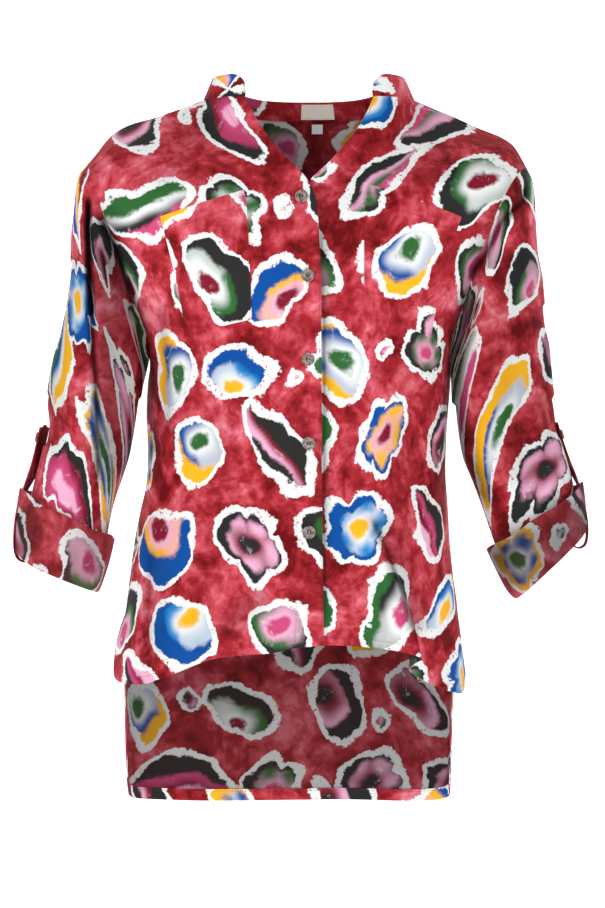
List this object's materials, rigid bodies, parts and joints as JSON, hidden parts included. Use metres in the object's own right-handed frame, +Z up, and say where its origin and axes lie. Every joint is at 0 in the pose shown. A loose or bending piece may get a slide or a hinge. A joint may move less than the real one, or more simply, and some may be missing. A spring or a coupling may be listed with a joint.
{
  "type": "blouse",
  "caption": "Loose button-through blouse in printed cloth with a standing neckband, V opening, patch chest pockets, rolled tabbed sleeves and a longer back.",
  "frame": {"origin": "middle of the neck opening between the shoulders, level with the points where the shoulder seams meet the collar", "axes": "+Z up, -Y the front, +X the wearer's left"},
  "size_m": [0.6356, 0.2479, 0.8047],
  "materials": {
    "cloth": "soft matte printed viscose, mottled crimson with white, black, green, blue and yellow motifs",
    "cloth_wrong_side": "fainter wrong side of the same printed cloth",
    "button": "grey-brown shell look, polished",
    "label": "woven cream tape, bare",
    "label_white": "woven white tape, bare"
  },
  "bodies": {
    "root": {"front_right": "cloth", "front_left": "cloth", "back": "cloth", "placket_right": "cloth", "placket_left": "cloth", "collar": "cloth", "pocket_right": "cloth", "pocket_left": "cloth", "sleeve_right": "cloth", "sleeve_left": "cloth", "cuff_right": "cloth_wrong_side", "cuff_left": "cloth_wrong_side", "tab_right": "cloth", "tab_left": "cloth", "button_1": "button", "button_2": "button", "button_3": "button", "button_4": "button", "button_5": "button", "tab_button_right": "button", "tab_button_left": "button", "neck_label": "label", "size_label": "label_white"}
  },
  "joints": []
}
